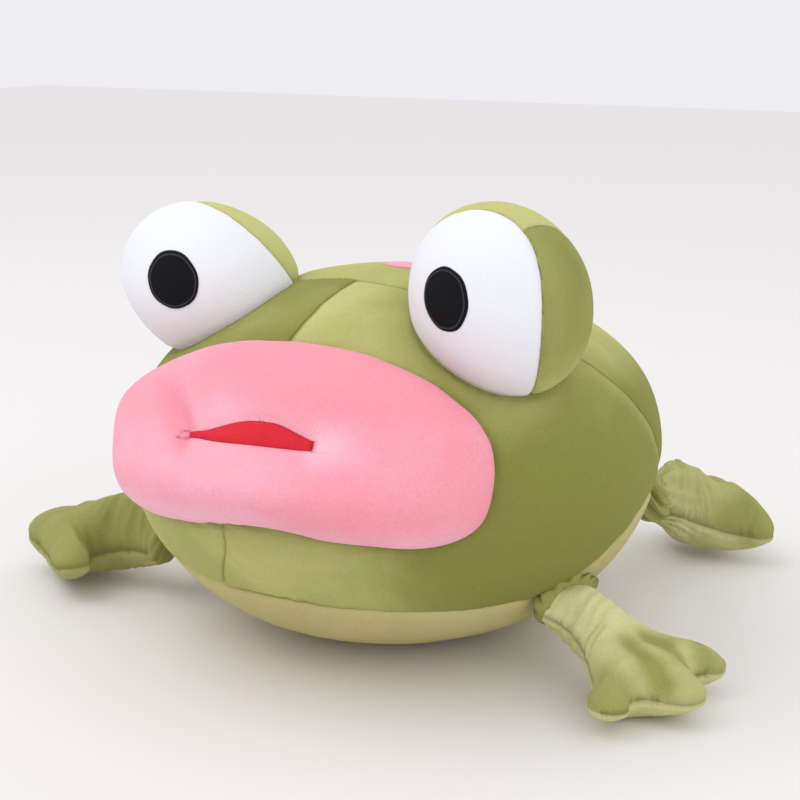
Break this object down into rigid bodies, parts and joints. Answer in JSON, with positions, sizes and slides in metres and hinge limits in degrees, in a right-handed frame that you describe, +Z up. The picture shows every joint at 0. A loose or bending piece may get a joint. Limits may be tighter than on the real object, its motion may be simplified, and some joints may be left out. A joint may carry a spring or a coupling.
{
  "type": "plush frog",
  "caption": "Stuffed velour frog cushion with a round squashed body, wide padded lips, bulging eyes on top and floppy limbs on gathered necks.",
  "frame": {"origin": "on the floor, under the middle of the belly's flat underside", "axes": "+Z up from the floor; the frog looks along -Y and its own left side is +X"},
  "size_m": [0.6403, 0.5366, 0.3456],
  "materials": {
    "green_velour": "short-pile velour, olive green",
    "belly_velour": "short-pile velour, pale olive",
    "pink_velour": "short-pile velour, pink",
    "red_velour": "short-pile velour, red",
    "white_velour": "short-pile velour, white",
    "black_satin": "satin-stitched embroidery, black",
    "fibre": "loose polyester fibre filling"
  },
  "bodies": {
    "torso": {"face_left": "green_velour", "face_right": "green_velour", "back_panel": "green_velour", "belly_panel": "belly_velour", "body_stuffing": "fibre", "back_patch": "pink_velour", "lips_skin": "pink_velour", "lips_stuffing": "fibre", "mouth_lining": "red_velour", "left_eye_white": "white_velour", "left_eye_back": "green_velour", "left_eye_cap": "green_velour", "left_eye_stuffing": "fibre", "left_pupil": "black_satin", "right_eye_white": "white_velour", "right_eye_back": "green_velour", "right_eye_cap": "green_velour", "right_eye_stuffing": "fibre", "right_pupil": "black_satin"},
    "front_left_neck": {"front_left_neck": "green_velour"},
    "front_left_limb": {"front_left_upper": "green_velour", "front_left_sole": "green_velour", "front_left_stuffing": "fibre"},
    "front_right_neck": {"front_right_neck": "green_velour"},
    "front_right_limb": {"front_right_upper": "green_velour", "front_right_sole": "green_velour", "front_right_stuffing": "fibre"},
    "rear_left_neck": {"rear_left_neck": "green_velour"},
    "rear_left_limb": {"rear_left_upper": "green_velour", "rear_left_sole": "green_velour", "rear_left_stuffing": "fibre"},
    "rear_right_neck": {"rear_right_neck": "green_velour"},
    "rear_right_limb": {"rear_right_upper": "green_velour", "rear_right_sole": "green_velour", "rear_right_stuffing": "fibre"}
  },
  "joints": [
    {"name": "front_left_lift", "type": "hinge", "parent": "torso", "child": "front_left_neck", "pos_m": [0.16877, -0.04224, 0.05632], "axis": [-0.3386, -0.9409, 0], "range_deg": [-45, 45]},
    {"name": "front_left_swing", "type": "hinge", "parent": "front_left_neck", "child": "front_left_limb", "pos_m": [0.18007, -0.04631, 0.037], "axis": [0, 0, 1], "range_deg": [-30, 30]},
    {"name": "front_right_lift", "type": "hinge", "parent": "torso", "child": "front_right_neck", "pos_m": [-0.16877, -0.04224, 0.05632], "axis": [-0.3386, 0.9409, 0], "range_deg": [-45, 45]},
    {"name": "front_right_swing", "type": "hinge", "parent": "front_right_neck", "child": "front_right_limb", "pos_m": [-0.21582, -0.05917, 0.037], "axis": [0, 0, 1], "range_deg": [-30, 30]},
    {"name": "rear_left_lift", "type": "hinge", "parent": "torso", "child": "rear_left_neck", "pos_m": [0.1185, 0.15757, 0.09692], "axis": [0.852, -0.5235, 0], "range_deg": [-45, 45]},
    {"name": "rear_left_swing", "type": "hinge", "parent": "rear_left_neck", "child": "rear_left_limb", "pos_m": [0.14467, 0.20017, 0.06959], "axis": [0, 0, 1], "range_deg": [-30, 30]},
    {"name": "rear_right_lift", "type": "hinge", "parent": "torso", "child": "rear_right_neck", "pos_m": [-0.1185, 0.15757, 0.09692], "axis": [0.852, 0.5235, 0], "range_deg": [-45, 45]},
    {"name": "rear_right_swing", "type": "hinge", "parent": "rear_right_neck", "child": "rear_right_limb", "pos_m": [-0.14467, 0.20017, 0.06959], "axis": [0, 0, 1], "range_deg": [-30, 30]}
  ]
}
